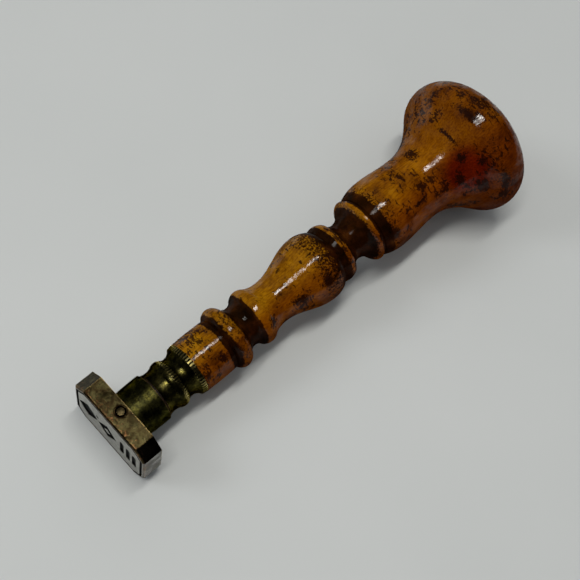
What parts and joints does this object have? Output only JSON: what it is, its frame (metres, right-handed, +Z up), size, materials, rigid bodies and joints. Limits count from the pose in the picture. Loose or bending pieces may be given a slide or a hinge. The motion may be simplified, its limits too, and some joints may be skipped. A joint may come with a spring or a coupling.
{
  "type": "desk hand stamp",
  "caption": "Antique desk hand stamp lying on its side, with a turned wooden palm handle, a brass ferrule and an engraved octagonal brass die that unscrews.",
  "frame": {"origin": "middle of the lying stamp's box, on the ground it rests on", "axes": "+X from the die towards the knob, level with the ground; +Z up; +Y to the left of +X"},
  "size_m": [0.1404, 0.0404, 0.0403],
  "materials": {
    "die_brass": "aged, rubbed bright on the face",
    "pin_brass": "aged",
    "collar_brass": "dark olive patina",
    "stud_steel": "dull, oiled",
    "washer_leather": "dark, compressed",
    "ferrule_brass": "dark olive patina, rubbed crests",
    "screw_steel": "dull",
    "handle_wood": "mottled amber stain under a worn glossy varnish"
  },
  "bodies": {
    "die": {"die_block": "die_brass", "locating_pin": "pin_brass", "die_collar": "collar_brass", "die_stud": "stud_steel"},
    "washer": {"packing_washer": "washer_leather"},
    "grip": {"handle": "handle_wood", "ferrule": "ferrule_brass", "fixing_screw": "screw_steel"}
  },
  "joints": [
    {"name": "unscrew_travel", "type": "slide", "parent": "die", "child": "washer", "axis": [0.997, 0, 0.0772], "range_m": [0, 0.00762]},
    {"name": "unscrew_turn", "type": "hinge", "parent": "washer", "child": "grip", "pos_m": [-0.06945, 0, 0.01028], "axis": [0.997, 0, 0.0772], "range_deg": [0, 2160]}
  ],
  "couplings": [
    {"joint": "unscrew_travel", "follows": "unscrew_turn", "m_per_rad": 0.00020213}
  ]
}
